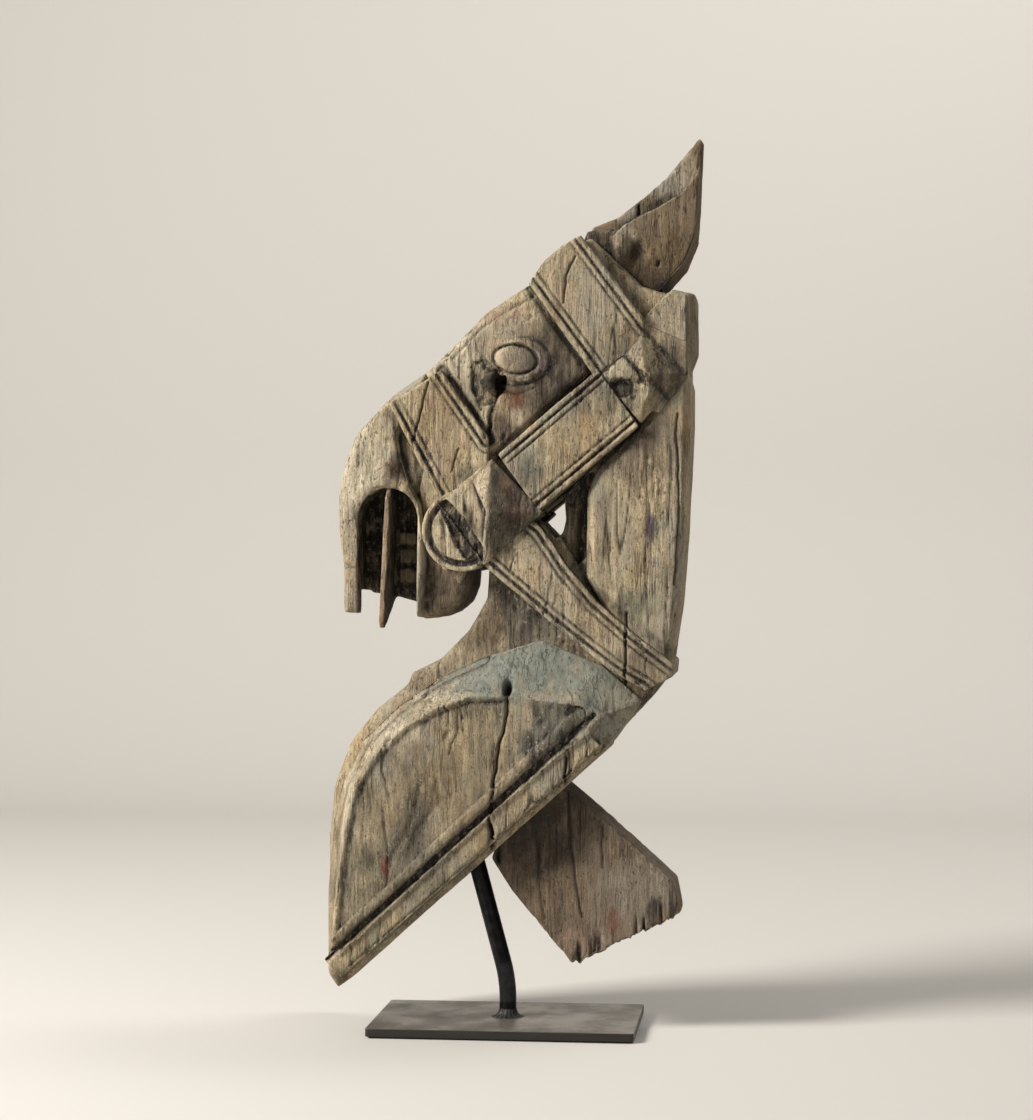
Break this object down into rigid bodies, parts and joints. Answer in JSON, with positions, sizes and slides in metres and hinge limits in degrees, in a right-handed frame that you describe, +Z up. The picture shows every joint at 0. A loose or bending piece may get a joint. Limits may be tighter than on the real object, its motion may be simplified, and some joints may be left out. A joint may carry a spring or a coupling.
{
  "type": "carved horse head on stand",
  "caption": "Weathered carved timber horse head with bridle and shoulder leaf, lifting off a leaning round steel stem welded to a flat rectangular base plate.",
  "frame": {"origin": "middle of the felt's underside, where the stand rests", "axes": "+Z up, +X from the muzzle to the mane, -Y towards a viewer who sees the muzzle on the left"},
  "size_m": [0.268, 0.124, 0.639],
  "materials": {
    "weathered_timber": "dry weathered hardwood, open grain, traces of blue-green and red paint",
    "tongue_timber": "dry weathered slat with a reddish brown lower half",
    "black_steel": "satin black",
    "weld_steel": "satin dark bead",
    "plate_steel": "waxed grey-brown, satin",
    "felt": "matt black felt"
  },
  "bodies": {
    "stand": {"stem_rod": "black_steel", "foot_weld": "weld_steel", "base_plate": "plate_steel", "felt_sheet": "felt"},
    "carving": {"carved_block": "weathered_timber", "tongue": "tongue_timber"}
  },
  "joints": [
    {"name": "carving_lift", "type": "slide", "parent": "stand", "child": "carving", "axis": [-0.2588, 0, 0.9659], "range_m": [0, 0.05]}
  ]
}
